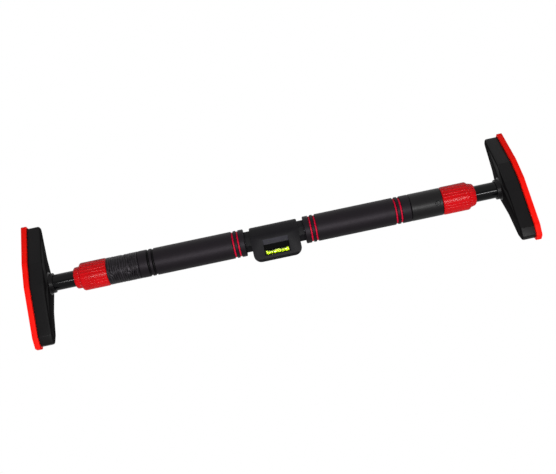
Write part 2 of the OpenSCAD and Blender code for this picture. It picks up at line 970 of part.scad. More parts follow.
module plate_body() {
    boss_r = screw_r + boss_wall;
    color("#1a191c")
        difference() {
            union() {
                difference() {
                    plate_form(pad_over, pad_round, peak_r, peak_x, rim_x0, body_x1);
                    plate_form(
                        pad_over + body_wall,
                        inner_round,
                        peak_r - body_wall,
                        peak_x + body_wall,
                        rim_x0 + body_wall,
                        body_x1 + cut
                    );
                }
                rod(body_x0 + bush_flange, core_x0 - face_gap, socket_r);
                intersection() {
                    plate_form(
                        pad_over + boss_skin,
                        inner_round,
                        peak_r - boss_skin,
                        peak_x + boss_skin,
                        rim_x0 + boss_skin,
                        body_x1
                    );
                    for (p = screw_spots)
                        translate(p)
                            rod(body_x0, core_x0, boss_r);
                }
            }
            rod(body_x0 - cut, core_x0, socket_ri);
            for (p = screw_spots)
                translate(p)
                    rod(core_x1 - screw_len - screw_end, core_x0 + cut, screw_r + seat_fit);
        }
}

// flanged nylon bush that the sliding tube turns in
module socket_bush() {
    color("#101012")
        difference() {
            union() {
                rod(body_x0, body_x0 + bush_len, bush_r);
                rod(body_x0, body_x0 + bush_flange - seat_fit, bush_r + bush_flange_high);
            }
            rod(body_x0 - cut, body_x0 + bush_len + cut, slide_r + run_fit);
        }
}

module core_plate() {
    color("#8b8d90")
        difference() {
            slab(core_x0, core_x1, pad_over + body_wall + core_gap, inner_round);
            rod(core_x0 - cut, core_x1 + cut, bolt_r + run_fit);
            for (p = screw_spots)
                translate(p)
                    rod(core_x0 - cut, core_x1 + cut, screw_r + screw_clear);
        }
}

module plate_screws() {
    x = core_x1 + seat_fit;
    slot_floor = screw_head_t * 0.4;
    color("silver")
        for (p = screw_spots)
            translate(p)
                difference() {
                    union() {
                        rod(core_x1 - screw_len, x, screw_r);
                        rod(x, x + screw_head_t, screw_head_r);
                    }
                    for (a = [0, 90])
                        rotate([a, 0, 0])
                            translate([x + slot_floor, -screw_r, -drive_slot / 2])
                                cube([screw_head_t, screw_d, drive_slot]);
                }
}

// grooves across the pad's face: they stop short of its edge and leave the middle plain
module tread() {
    count = floor((min(top_z, base_z) - tread_margin) / tread_step);
    intersection() {
        slab(pad_x1 - tread_deep, pad_x1 + cut, tread_margin, inner_round);
        for (s = [-1, 1], k = [1 : count])
            translate([pad_x1 - tread_deep, -wide_w, s * k * tread_step - tread_w / 2])
                cube([tread_deep + cut, 2 * wide_w, tread_w]);
    }
}

module pad() {
    color("#f01a14")
        difference() {
            slab(pad_x0, pad_x1, 0, pad_round);
            tread();
        }
}

// ---------- nodes ----------

module left_plate() {
    rotate([left_turn, 0, 0])
        on_left()
            children();
}

module right_plate() {
    rotate([right_turn, 0, 0])
        children();
}

main_tube();
coupling_sleeve();
level_front_shell();
level_back_shell();
level_screws();
vial_tube();
vial_plugs();
vial_liquid();
vial_marks();
vial_bubble();
on_left() foam_grip();  // left_grip
foam_grip();  // right_grip
on_left() grip_rings(groove_in, red);  // left_inner_rings
grip_rings(groove_in, red);  // right_inner_rings
on_left() grip_rings(groove_out, black);  // left_outer_rings
grip_rings(groove_out, red);  // right_outer_rings
on_left() end_sleeve(false);  // left_end_sleeve
end_sleeve(true);  // right_end_sleeve
on_left() ferrule(false);  // left_ferrule
ferrule(true);  // right_ferrule
on_left() collet();  // left_collet
collet();  // right_collet
on_left() clamp_ring();  // left_clamp_ring
clamp_ring();  // right_clamp_ring
on_left() collar();  // left_collar
collar();  // right_collar
lock_button();
button_spring();
on_left() slide_tube();  // left_slide_tube
slide_tube();  // right_slide_tube
on_left() guide();  // left_guide
guide();  // right_guide
on_left() tube_plug();  // left_tube_plug
tube_plug();  // right_tube_plug
on_left() swivel_bolt();  // left_swivel_bolt
swivel_bolt();  // right_swivel_bolt
on_left() swivel_washer();  // left_swivel_washer
swivel_washer();  // right_swivel_washer
left_plate() plate_body();  // left_plate_body
right_plate() plate_body();  // right_plate_body
left_plate() socket_bush();  // left_socket_bush
right_plate() socket_bush();  // right_socket_bush
left_plate() core_plate();  // left_core_plate
right_plate() core_plate();  // right_core_plate
left_plate() plate_screws();  // left_plate_screws
right_plate() plate_screws();  // right_plate_screws
left_plate() pad();  // left_pad
right_plate() pad();  // right_pad
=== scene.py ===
import json
import math

import bmesh
import bpy
from mathutils import Matrix, Vector, noise


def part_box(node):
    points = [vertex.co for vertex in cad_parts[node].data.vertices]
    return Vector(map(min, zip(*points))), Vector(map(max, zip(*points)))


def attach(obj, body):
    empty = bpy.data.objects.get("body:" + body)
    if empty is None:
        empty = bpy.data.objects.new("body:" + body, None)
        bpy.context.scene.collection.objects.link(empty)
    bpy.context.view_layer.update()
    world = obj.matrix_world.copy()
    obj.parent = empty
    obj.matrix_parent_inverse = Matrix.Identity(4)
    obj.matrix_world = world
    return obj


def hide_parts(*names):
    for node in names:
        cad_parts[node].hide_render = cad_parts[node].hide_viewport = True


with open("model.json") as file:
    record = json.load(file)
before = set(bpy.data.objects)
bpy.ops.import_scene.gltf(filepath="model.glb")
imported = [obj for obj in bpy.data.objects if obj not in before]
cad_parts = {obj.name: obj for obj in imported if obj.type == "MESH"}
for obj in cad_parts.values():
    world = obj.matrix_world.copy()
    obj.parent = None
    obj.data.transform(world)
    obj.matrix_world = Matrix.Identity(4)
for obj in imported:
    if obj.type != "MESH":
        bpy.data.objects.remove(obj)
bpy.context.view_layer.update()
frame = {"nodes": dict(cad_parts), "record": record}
nodes = frame["nodes"]
record = frame["record"]
slotOf = {part["node"]: part["material_slot"] for part in record["subparts"]}
bodyOf = {name: body for body, names in record["behaviour"]["bodies"].items() for name in names}
sides = (("left", -1), ("right", 1))
mm = 0.001
print("frame loaded:", len(nodes), "solids")


# small helpers


def linear(hexText):
    # an sRGB hex colour as linear light, the way the shaders want it
    parts = [int(hexText[i:i + 2], 16) / 255 for i in (0, 2, 4)]
    return tuple(c / 12.92 if c <= 0.04045 else ((c + 0.055) / 1.055) ** 2.4 for c in parts) + (1.0,)


def perMetre(size):
    # pattern scale for a feature of that many millimetres
    return 1 / (size * mm)


def angles(count):
    # a full turn in even steps
    return [2 * math.pi * j / count for j in range(count)]


def addObject(name, data):
    made = bpy.data.objects.new(name, data)
    bpy.context.scene.collection.objects.link(made)
    return made


def addNode(tree, kind, settings=None, values=None, links=None, stops=None, into=None):
    # one node: its settings, socket values, what feeds it, ramp stops, and where its first output goes
    made = tree.nodes.new(kind)
    for key, value in (settings or {}).items():
        setattr(made, key, value)
    for key, value in (values or {}).items():
        made.inputs[key].default_value = value
    for key, source in (links or {}).items():
        tree.links.new(source, made.inputs[key])
    if stops:
        while len(made.color_ramp.elements) < len(stops):
            made.color_ramp.elements.new(0.5)
        for element, (position, hexColour) in zip(made.color_ramp.elements, stops):
            element.position = position
            element.color = linear(hexColour)
    if into:
        tree.links.new(made.outputs[0], into)
    return made


def newMaterial(name, hexColour, uniform):
    # a material with its shader, whose own sockets hold the values that are the same all over
    made = bpy.data.materials.new(name)
    made.use_nodes = True
    tree = made.node_tree
    tree.nodes.clear()
    shader = addNode(tree, "ShaderNodeBsdfPrincipled", values={"Base Color": linear(hexColour), **uniform})
    addNode(tree, "ShaderNodeOutputMaterial", links={"Surface": shader.outputs["BSDF"]})
    place = addNode(tree, "ShaderNodeTexCoord")
    return made, tree, shader.inputs, place.outputs["Object"]


def dressSurface(tree, shader, tone, stops, wear=None, rough=None, relief=None, bump=None):
    # what the finishes share: a colour ramp, a roughness range, and a bump as strength and mm
    addNode(tree, "ShaderNodeValToRGB", links={"Fac": tone}, stops=stops, into=shader["Base Color"])
    if wear is not None:
        # noise lies mostly between 0.3 and 0.7
        addNode(tree, "ShaderNodeMapRange", values={1: 0.3, 2: 0.7, 3: rough[0], 4: rough[1]},
                links={0: wear}, into=shader["Roughness"])
    if relief is not None:
        addNode(tree, "ShaderNodeBump", values={"Strength": bump[0], "Distance": bump[1] * mm},
                links={"Height": relief}, into=shader["Normal"])


def finishMesh(name, mesh, material, crease=35, flip=True):
    # merges seams and poles, turns faces outwards and shades by angle
    weldGap, sliver = 1e-6, 1e-7
    work = bmesh.new()
    work.from_mesh(mesh)
    bmesh.ops.remove_doubles(work, verts=work.verts, dist=weldGap)
    bmesh.ops.dissolve_degenerate(work, edges=work.edges, dist=sliver)
    loose = [v for v in work.verts if not v.link_faces]
    bmesh.ops.delete(work, geom=loose, context="VERTS")
    if flip:
        bmesh.ops.recalc_face_normals(work, faces=work.faces)
    work.to_mesh(mesh)
    work.free()
    mesh.materials.clear()
    mesh.materials.append(material)
    mesh.shade_smooth()
    mesh.set_sharp_from_angle(angle=math.radians(crease))
    return addObject(name, mesh)


def settle(piece, node):
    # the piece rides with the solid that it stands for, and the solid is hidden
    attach(piece, bodyOf[node])
    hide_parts(node)


def gridMesh(name, columns):
    # skins a closed ring of point loops, each joined to the next
    count = len(columns[0])
    points = [p for column in columns for p in column]
    faces = []
    for i in range(len(columns)):
        j = (i + 1) % len(columns)
        for k in range(count):
            m = (k + 1) % count
            faces.append((i * count + k, i * count + m, j * count + m, j * count + k))
    mesh = bpy.data.meshes.new(name)
    mesh.from_pydata([tuple(p) for p in points], [], faces)
    return mesh


def softLoop(corners, steps=4):
    # rounds each (point, radius) corner of a closed loop
    nearlyStraight = 3.12  # radians
    nearlyHalf = 0.49      # share of a run that one corner's rounding may use
    out = []
    for i, (point, radius) in enumerate(corners):
        back = corners[i - 1][0] - point
        ahead = corners[(i + 1) % len(corners)][0] - point
        shortest = min(back.length, ahead.length)
        if radius <= 0 or shortest < 1e-7 or back.angle(ahead) > nearlyStraight:
            out.append(point.copy())
            continue
        cut = min(radius / math.tan(back.angle(ahead) / 2), nearlyHalf * shortest)
        start = point + back.normalized() * cut
        end = point + ahead.normalized() * cut
        for k in range(steps + 1):
            t = k / steps
            out.append(start * (1 - t) ** 2 + point * 2 * t * (1 - t) + end * t * t)
    return out


def splitLoop(points, longest):
    # splits a closed loop's long runs, so that a shape function has points to move
    out = []
    for i, point in enumerate(points):
        ahead = points[(i + 1) % len(points)]
        parts = max(1, math.ceil((ahead - point).length / longest))
        out += [point.lerp(ahead, k / parts) for k in range(parts)]
    return out


def turned(name, corners, side, material, segments=128, steps=4, longest=None, shape=None, crease=35):
    # turns a closed (station, radius, rounding) section, in metres, round the bar's axis
    loop = softLoop([(Vector((x, r, 0)), rounding) for x, r, rounding in corners], steps)
    if longest:
        loop = splitLoop(loop, longest)
    columns = []
    for a in angles(segments):
        column = []
        for p in loop:
            x, r = (p.x, p.y) if shape is None else shape(p.x, p.y, a)
            column.append(Vector((side * x, r * math.sin(a), r * math.cos(a))))
        columns.append(column)
    return finishMesh(name, gridMesh(name, columns), material, crease)


def bake(holder):
    # turns an object's modifiers into a plain mesh and drops the object
    bpy.context.view_layer.update()
    graph = bpy.context.evaluated_depsgraph_get()
    mesh = bpy.data.meshes.new_from_object(holder.evaluated_get(graph))
    bpy.data.objects.remove(holder)
    return mesh


def eased(node, name, material, width, segments=2):
    # a copy of a solid with its sharp edges rounded, as moulded and turned parts have them
    weldGap = 2e-6
    flatAngle, sharpAngle = 0.6, 28  # degrees
    mesh = nodes[node].data.copy()
    work = bmesh.new()
    work.from_mesh(mesh)
    bmesh.ops.remove_doubles(work, verts=work.verts, dist=weldGap)
    bmesh.ops.dissolve_limit(work, angle_limit=math.radians(flatAngle), verts=work.verts, edges=work.edges)
    work.to_mesh(mesh)
    work.free()
    holder = addObject(name + "Holder", mesh)
    bevel = holder.modifiers.new("edges", "BEVEL")
    bevel.width = width * mm
    bevel.segments = segments
    bevel.limit_method = "ANGLE"
    bevel.angle_limit = math.radians(sharpAngle)
    bevel.use_clamp_overlap = True
    piece = finishMesh(name, bake(holder), material, flip=False)
    settle(piece, node)
    return piece


# stations read from the solids, right half

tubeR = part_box("main_tube")[1].z
gripLow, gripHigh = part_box("right_grip")
sleeveLow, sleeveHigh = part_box("right_end_sleeve")
collarLow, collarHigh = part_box("right_collar")
slideLow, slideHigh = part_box("right_slide_tube")
bushLow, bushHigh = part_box("right_socket_bush")
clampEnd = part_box("right_clamp_ring")[1].x
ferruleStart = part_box("right_ferrule")[0].x
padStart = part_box("right_pad")[0].x
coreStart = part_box("right_core_plate")[0].x
gripR = gripHigh.z
slideR = slideHigh.z
ferruleR = tubeR + 2.8 * mm  # where it lies in the end sleeve


# camera

cameraPlace = {
    "lens": 55.59,       # millimetres, on film of the next width
    "film": 36,
    "distance": 1.2514,  # metres from the bar's middle
    "rise": -21.15,      # seen from below, in degrees
    "yaw": -0.144,
    "roll": 11.92,
    "aside": -0.0047,    # where the bar's middle lies beside and above the view's middle
    "above": 0.00097,
    "near": 0.05,        # clipping, metres
    "far": 50,
}


def placeCamera(settings):
    rise, yaw, roll = (math.radians(settings[k]) for k in ("rise", "yaw", "roll"))
    ahead = Vector((0, math.cos(rise), -math.sin(rise)))
    up = Vector((0, math.sin(rise), math.cos(rise)))
    right = Vector((1, 0, 0))
    turnedRight = right * math.cos(yaw) - ahead * math.sin(yaw)
    turnedAhead = right * math.sin(yaw) + ahead * math.cos(yaw)
    filmRight = turnedRight * math.cos(roll) - up * math.sin(roll)
    filmUp = turnedRight * math.sin(roll) + up * math.cos(roll)
    place = -(filmRight * settings["aside"] + filmUp * settings["above"]) - turnedAhead * settings["distance"]
    data = bpy.data.cameras.new("studioCamera")
    data.lens = settings["lens"]
    data.sensor_width = settings["film"]
    data.clip_start = settings["near"]
    data.clip_end = settings["far"]
    made = addObject("studioCamera", data)
    turn = Matrix((filmRight, filmUp, -turnedAhead)).transposed()
    made.matrix_world = Matrix.Translation(place) @ turn.to_4x4()
    bpy.context.scene.camera = made


placeCamera(cameraPlace)
bpy.context.scene.view_settings.view_transform = "Standard"
print("camera placed")


# studio: pale floor far under the bar, soft lamps and a white surround

studio = {
    "surround": "FFFFFF",
    "dayLevel": 0.16,    # light that comes from all round
    "floorDrop": 1.05,   # metres under the bar
    "floorSize": 30.0,
    "floorColour": "E9E9E9",
    "floorGlow": 0.6,    # how much of the floor's paleness is its own, the rest takes shadows
    "cloudSize": 1250,   # millimetres
    "lamps": (
        # name, place, width, height, watts, shows in gloss
        ("keyLamp", (0.10, -1.24, -0.84), 1.6, 0.12, 25.0, True),
        ("topLamp", (0.2, 0.25, 1.7), 1.8, 1.2, 8.0, False),
        ("backLamp", (-0.5, 1.7, 0.5), 1.6, 1.2, 10.0, False),
    ),
}


def seenRays(tree):
    # 1 for the rays that see the background: camera, glossy and transmission
    path = addNode(tree, "ShaderNodeLightPath")
    seen = addNode(tree, "ShaderNodeMath", {"operation": "MAXIMUM"},
                   links={0: path.outputs["Is Camera Ray"], 1: path.outputs["Is Glossy Ray"]})
    both = addNode(tree, "ShaderNodeMath", {"operation": "MAXIMUM"},
                   links={0: seen.outputs[0], 1: path.outputs["Is Transmission Ray"]})
    return both.outputs[0]


def setWorld(settings):
    world = bpy.data.worlds.new("whiteStudio")
    bpy.context.scene.world = world
    world.use_nodes = True
    tree = world.node_tree
    tree.nodes.clear()
    colour = linear(settings["surround"])
    day = addNode(tree, "ShaderNodeBackground", values={"Color": colour, "Strength": settings["dayLevel"]})
    white = addNode(tree, "ShaderNodeBackground", values={"Color": colour, "Strength": 1.0})
    both = addNode(tree, "ShaderNodeMixShader",
                   links={0: seenRays(tree), 1: day.outputs[0], 2: white.outputs[0]})
    addNode(tree, "ShaderNodeOutputWorld", links={"Surface": both.outputs[0]})


def makeFloor(settings):
    # studio paper: matt, with the faintest cloudiness, and a glow of its own for the rays that see it
    paper, tree, shader, place = newMaterial("floorPaper", settings["floorColour"],
                                             {"Roughness": 0.9, "Specular IOR Level": 0.2})
    cloud = addNode(tree, "ShaderNodeTexNoise",
                    values={"Scale": perMetre(settings["cloudSize"]), "Detail": 3.0}, links={"Vector": place})
    dressSurface(tree, shader, cloud.outputs["Fac"], ((0.3, "E6E6E6"), (0.7, "ECECEC")))
    glow = addNode(tree, "ShaderNodeEmission", values={"Color": linear(settings["floorColour"])})
    share = addNode(tree, "ShaderNodeMath", {"operation": "MULTIPLY"}, {1: settings["floorGlow"]},
                    {0: seenRays(tree)})
    addNode(tree, "ShaderNodeMixShader",
            links={0: share.outputs[0], 1: shader["Base Color"].node.outputs[0], 2: glow.outputs[0]},
            into=tree.nodes["Material Output"].inputs["Surface"])
    half = settings["floorSize"] / 2
    drop = -settings["floorDrop"]
    mesh = bpy.data.meshes.new("studioFloor")
    mesh.from_pydata([(-half, -half, drop), (half, -half, drop), (half, half, drop), (-half, half, drop)],
                     [], [(0, 1, 2, 3)])
    mesh.materials.append(paper)
    floor = addObject("studioFloor", mesh)


def setLamps(settings):
    # area lamps, each turned to the bar's middle
    for name, place, width, height, watts, inGloss in settings["lamps"]:
        data = bpy.data.lights.new(name, "AREA")
        data.shape = "RECTANGLE"
        data.size = width
        data.size_y = height
        data.energy = watts
        lamp = addObject(name, data)
        lamp.location = place
        lamp.rotation_euler = (-Vector(place)).to_track_quat("-Z", "Y").to_euler()
        lamp.visible_glossy = inGloss


setWorld(studio)
makeFloor(studio)
setLamps(studio)
print("studio lit")


# materials


def nitrileFoam():
    # nitrile rubber foam, extruded and ground: charcoal, matt, fine open cells and one soft broad shine
    made, tree, shader, place = newMaterial("groundNitrileFoam", "060407", {
        "Specular IOR Level": 0.19, "IOR": 1.5, "Specular Tint": linear("FBEFFC"),
    })
    # cells are drawn about twice as coarse as real ones, so that they show
    cells = addNode(tree, "ShaderNodeTexVoronoi", values={"Scale": perMetre(1.2)}, links={"Vector": place})
    mottle = addNode(tree, "ShaderNodeTexNoise", values={"Scale": perMetre(9), "Detail": 4.0},
                     links={"Vector": place})
    both = addNode(tree, "ShaderNodeMath", {"operation": "MULTIPLY_ADD"}, {1: 0.5},
                   {0: cells.outputs["Distance"], 2: mottle.outputs["Fac"]})
    dressSurface(tree, shader, both.outputs[0], ((0.35, "040305"), (0.9, "090609")),
                 mottle.outputs["Fac"], (0.48, 0.54), cells.outputs["Distance"], (0.35, 0.1))
    return made


def siliconeBand(name, hexDark, hexLight, shine):
    # silicone band, moulded: strong even colour, a soft shine and faint flow streaks
    made, tree, shader, place = newMaterial(name, hexLight, {"Specular IOR Level": shine, "IOR": 1.41})
    flow = addNode(tree, "ShaderNodeTexNoise", values={"Scale": perMetre(2.2), "Detail": 3.0},
                   links={"Vector": place})
    dressSurface(tree, shader, flow.outputs["Fac"], ((0.3, hexDark), (0.75, hexLight)),
                 flow.outputs["Fac"], (0.38, 0.5), flow.outputs["Fac"], (0.4, 0.05))
    return made


def shrinkRubberPaintedFolds():
    # heat-shrunk rubber sleeve: charcoal satin, with painted light and shade of folds in its colour
    made, tree, shader, place = newMaterial("shrunkRubber", "0D0B0E", {
        "Specular IOR Level": 0.19, "IOR": 1.5, "Specular Tint": linear("FBF3FC"),
    })
    stretch = addNode(tree, "ShaderNodeMapping", values={"Scale": (1.0, 0.22, 0.22)}, links={"Vector": place})
    crease = addNode(tree, "ShaderNodeTexNoise",
                     values={"Scale": perMetre(2.0), "Detail": 4.0, "Distortion": 0.5},
                     links={"Vector": stretch.outputs[0]})
    # a wave of scale 1 repeats every 0.314, so this one has a fold every 3.4 mm
    folds = addNode(tree, "ShaderNodeTexWave", {"bands_direction": "X"},
                    {"Scale": 0.314 * perMetre(3.4), "Distortion": 7.0, "Detail": 2.0, "Detail Scale": 0.5},
                    {"Vector": place})
    both = addNode(tree, "ShaderNodeMath", {"operation": "MULTIPLY"},
                   links={0: folds.outputs["Fac"], 1: crease.outputs["Fac"]})
    # the colour ramp paints the folds' light and shade: paler bands and darker bands a fold apart
    dressSurface(tree, shader, both.outputs[0], ((0.12, "030203"), (0.62, "262327")),
                 crease.outputs["Fac"], (0.34, 0.48), crease.outputs["Fac"], (0.5, 0.25))
    return made


def mouldedPlastic(name, hexDark, hexLight, grain, depth, rough, shine):
    # injection-moulded, spark-eroded finish: a fine leathery grain that softens the shine
    made, tree, shader, place = newMaterial(name, hexLight, {"Specular IOR Level": shine, "IOR": 1.5})
    # the grain is drawn several times as coarse as a real one, so that it shows
    fine = addNode(tree, "ShaderNodeTexNoise",
                   values={"Scale": perMetre(grain), "Detail": 4.0, "Roughness": 0.6},
                   links={"Vector": place})
    broad = addNode(tree, "ShaderNodeTexNoise", values={"Scale": perMetre(24), "Detail": 3.0},
                    links={"Vector": place})
    dressSurface(tree, shader, broad.outputs["Fac"], ((0.3, hexDark), (0.75, hexLight)),
                 fine.outputs["Fac"], (rough - 0.05, rough + 0.07), fine.outputs["Fac"], (0.5, depth))
    return made


def glossNylon():
    # glass-filled nylon, moulded glossy: deep red with bright streaks along its ribs
    made, tree, shader, place = newMaterial("glossRedNylon", "C0040C", {
        "Specular IOR Level": 0.11, "IOR": 1.53,
    })
    peel = addNode(tree, "ShaderNodeTexNoise", values={"Scale": perMetre(2.4), "Detail": 3.0},
                   links={"Vector": place})
    broad = addNode(tree, "ShaderNodeTexNoise", values={"Scale": perMetre(14), "Detail": 2.0},
                    links={"Vector": place})
    dressSurface(tree, shader, broad.outputs["Fac"], ((0.3, "B8030A"), (0.75, "C8050F")),
                 peel.outputs["Fac"], (0.17, 0.27), peel.outputs["Fac"], (0.12, 0.05))
    return made


def padRubber():
    # thermoplastic rubber, moulded: bright red, matt, with the bloom that soft rubber gets
    made, tree, shader, place = newMaterial("matRedRubber", "F8140A", {"Specular IOR Level": 0.1, "IOR": 1.5})
    bloom = addNode(tree, "ShaderNodeTexNoise", values={"Scale": perMetre(11), "Detail": 4.0},
                    links={"Vector": place})
    # the skin is drawn a few times as coarse as a real mould's, so that it shows
    skin = addNode(tree, "ShaderNodeTexNoise", values={"Scale": perMetre(0.9), "Detail": 2.0},
                   links={"Vector": place})
    dressSurface(tree, shader, bloom.outputs["Fac"], ((0.3, "F20F06"), (0.75, "FC180C")),
                 bloom.outputs["Fac"], (0.55, 0.68), skin.outputs["Fac"], (0.4, 0.05))
    return made


def paintedSteel():
    # black stoved paint on drawn steel tube: glossy, with faint lengthwise draw lines
    made, tree, shader, place = newMaterial("blackStovedPaint", "040405", {
        "Specular IOR Level": 0.15, "IOR": 1.5,
    })
    along = addNode(tree, "ShaderNodeMapping", values={"Scale": (0.012, 1.0, 1.0)}, links={"Vector": place})
    # the lines lie a few times as far apart as real ones, so that they show
    lines = addNode(tree, "ShaderNodeTexNoise", values={"Scale": perMetre(0.5), "Detail": 3.0},
                    links={"Vector": along.outputs[0]})
    dressSurface(tree, shader, lines.outputs["Fac"], ((0.3, "030304"), (0.75, "070708")),
                 lines.outputs["Fac"], (0.09, 0.15), lines.outputs["Fac"], (0.06, 0.01))
    return made


def platedSteel(name, hexDark, hexLight, rough):
    # zinc-plated or bare drawn steel: metal with a crystalline cloud and turning marks
    made, tree, shader, place = newMaterial(name, hexLight, {"Metallic": 1.0})
    # both are drawn several times as coarse as real ones, so that they show: marks lie 3.8 mm apart
    cloud = addNode(tree, "ShaderNodeTexNoise", values={"Scale": perMetre(3), "Detail": 5.0},
                    links={"Vector": place})
    marks = addNode(tree, "ShaderNodeTexWave", {"bands_direction": "X"},
                    {"Scale": perMetre(12), "Distortion": 0.5}, {"Vector": place})
    dressSurface(tree, shader, cloud.outputs["Fac"], ((0.3, hexDark), (0.75, hexLight)),
                 cloud.outputs["Fac"], (rough - 0.08, rough + 0.1), marks.outputs["Fac"], (0.3, 0.01))
    return made


def vialAcrylic():
    # cast acrylic, clear and polished: the dyed spirit shows through behind a bright edge
    made, tree, shader, place = newMaterial("clearAcrylic", "F4FBC8", {
        "IOR": 1.49, "Transmission Weight": 1.0,
    })
    haze = addNode(tree, "ShaderNodeTexNoise", values={"Scale": perMetre(2), "Detail": 2.0},
                   links={"Vector": place})
    dressSurface(tree, shader, haze.outputs["Fac"], ((0.3, "EFF8B0"), (0.7, "FAFFD8")),
                 haze.outputs["Fac"], (0.03, 0.08))
    return made


def dyedSpirit():
    # spirit dyed with fluorescein: a yellow-green, with a painted glow from an emission that makes it shine
    # by itself
    made, tree, shader, place = newMaterial("dyedSpirit", "D2EA10", {
        "Roughness": 0.15, "IOR": 1.36, "Specular IOR Level": 0.1,
        # painted glow: the spirit emits light of its own
        "Emission Color": linear("C8E60A"), "Emission Strength": 0.35,
    })
    swirl = addNode(tree, "ShaderNodeTexNoise", values={"Scale": perMetre(5), "Detail": 2.0},
                    links={"Vector": place})
    dressSurface(tree, shader, swirl.outputs["Fac"], ((0.3, "C4DF08"), (0.7, "E0F222")))
    return made


def airBubble():
    # a bubble of air under acrylic, drawn as an opaque solid: its pale colour is a painted reflection and its
    # emission a painted glow, with a sharp glint
    made, tree, shader, place = newMaterial("airBubble", "F1F8C0", {
        # painted glow: the bubble emits light of its own
        "Roughness": 0.1, "IOR": 1.33, "Emission Color": linear("E6F29A"), "Emission Strength": 0.25,
    })
    paintedSheen = addNode(tree, "ShaderNodeTexNoise", values={"Scale": perMetre(3), "Detail": 1.0},
                    links={"Vector": place})
    # the pale colour ramp is a painted reflection
    dressSurface(tree, shader, paintedSheen.outputs["Fac"], ((0.3, "DCE88A"), (0.7, "F6FBD6")))
    return made


def markInk():
    # printed ring marks: matt green-black ink, a little uneven in cover
    made, tree, shader, place = newMaterial("printedInk", "14180A", {"Roughness": 0.55, "IOR": 1.5})
    cover = addNode(tree, "ShaderNodeTexNoise", values={"Scale": perMetre(0.8), "Detail": 2.0},
                    links={"Vector": place})
    dressSurface(tree, shader, cover.outputs["Fac"], ((0.3, "0A0D04"), (0.7, "1A200A")))
    return made


foamFinish = nitrileFoam()
redBand = siliconeBand("redSilicone", "A8082A", "D21038", 0.12)
blackBand = siliconeBand("blackSilicone", "040404", "09080A", 0.1)
sleevePaintedFolds = shrinkRubberPaintedFolds()
# the last four values: grain size and depth in mm, roughness, shine
satinFinish = mouldedPlastic("satinRubber", "060506", "0B090B", 1.6, 0.04, 0.4, 0.2)
shellFinish = mouldedPlastic("mouldedBlackAbs", "08070A", "0F0D11", 1.0, 0.06, 0.52, 0.12)
# the window's sloping top: paler grey, a painted highlight
slopePaintedHighlight = mouldedPlastic("polishedBlackAbs", "2C2B31", "36353C", 1.0, 0.03, 0.36, 0.2)
# the window's back and sides: near black, painted shade in the recess
pocketPaintedShade = mouldedPlastic("mattBlackAbs", "020202", "050505", 1.0, 0.03, 0.6, 0.03)
plateFinish = mouldedPlastic("mouldedBlackNylon", "060506", "0B0A0B", 1.2, 0.07, 0.37, 0.13)
faceFinish = mouldedPlastic("texturedBlackNylon", "0E0D0E", "171617", 1.6, 0.09, 0.62, 0.005)
naturalNylon = mouldedPlastic("naturalNylon", "D6D2C2", "E6E2D4", 1.5, 0.04, 0.45, 0.4)
blackNylon = mouldedPlastic("blackNylon", "08080A", "0E0D0F", 1.0, 0.04, 0.36, 0.14)
collarFinish = glossNylon()
padFinish = padRubber()
paintFinish = paintedSteel()

slotFinish = {
    "tube_steel": platedSteel("drawnSteelTube", "4A4B4F", "5C5E62", 0.42),
    "slide_steel": paintFinish,
    "foam": foamFinish,
    "red_band": redBand,
    "black_band": blackBand,
    "sleeve_plastic": satinFinish,
    "shell_plastic": shellFinish,
    "plate_plastic": plateFinish,
    "collar_plastic": collarFinish,
    "pad_rubber": padFinish,
    "natural_nylon": naturalNylon,
    "black_nylon": blackNylon,
    "zinc_steel": platedSteel("zincPlatedSteel", "A9ADB2", "C9CDD2", 0.32),
    "vial_acrylic": vialAcrylic(),
    "vial_fluid": dyedSpirit(),
    "vial_air": airBubble(),
    "mark_ink": markInk(),
}
for name, solid in nodes.items():
    for place in solid.material_slots:
        place.material = slotFinish[slotOf[name]]
print("materials made:", len(slotFinish))


# foam grips and their bands

gripShape = {
    "bore": 0.3,            # clearance round the tube, mm
    "boreRound": 0.3,
    "endRound": 1.6,
    "grooveWidth": 3.0,
    "grooveDepth": 3.2,
    "grooveRound": 0.7,
    "grooveFoot": 0.3,
    "bandSink": 0.3,        # clearance under and beside a band
    "bandFoot": 0.15,
    "bandRound": 0.75,
    "bandSegments": 96,
    "segments": 144,
    "longestRun": 0.0028,   # metres
    "skinDepth": 0.8,       # how much of the foam is uneven, and by how far
    "unevenness": 0.09,
    "dipsAlong": 70,        # noise steps per metre along the grip, and round it
    "dipsRound": 1.1,
    "noiseStart": {"left": 0.0, "right": 3.7},
}


def grooveCentres(side):
    # middles of the grooves, from the bands that lie in them
    half = gripShape["grooveWidth"] / 2 - gripShape["bandSink"]
    found = []
    for kind in ("inner", "outer"):
        low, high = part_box(f"{side}_{kind}_rings")
        ends = sorted((abs(low.x), abs(high.x)))
        found.append((kind, [ends[0] + half * mm, ends[1] - half * mm]))
    return found


def makeGrip(side, sign):
    s = gripShape
    bore = tubeR + s["bore"] * mm
    low, high = gripLow.x, gripHigh.x
    half = s["grooveWidth"] / 2 * mm
    floor = gripR - s["grooveDepth"] * mm
    corners = [(low, bore, s["boreRound"] * mm), (low, gripR, s["endRound"] * mm)]
    for _, centres in grooveCentres(side):
        for c in centres:
            corners += [
                (c - half, gripR, s["grooveRound"] * mm), (c - half, floor, s["grooveFoot"] * mm),
                (c + half, floor, s["grooveFoot"] * mm), (c + half, gripR, s["grooveRound"] * mm),
            ]
    corners += [(high, gripR, s["endRound"] * mm), (high, bore, s["boreRound"] * mm)]

    def shape(x, r, a):
        # ground foam is never quite true: it only ever dips under its nominal size
        if r < gripR - s["skinDepth"] * mm:
            return x, r
        along = x * s["dipsAlong"] + s["noiseStart"][side]
        spot = Vector((along, math.sin(a) * s["dipsRound"], math.cos(a) * s["dipsRound"]))
        return x, r - s["unevenness"] * mm * (0.5 + 0.5 * noise.noise(spot))

    piece = turned(f"{side}FoamGrip", corners, sign, foamFinish, s["segments"],
                   longest=s["longestRun"], shape=shape)
    settle(piece, f"{side}_grip")


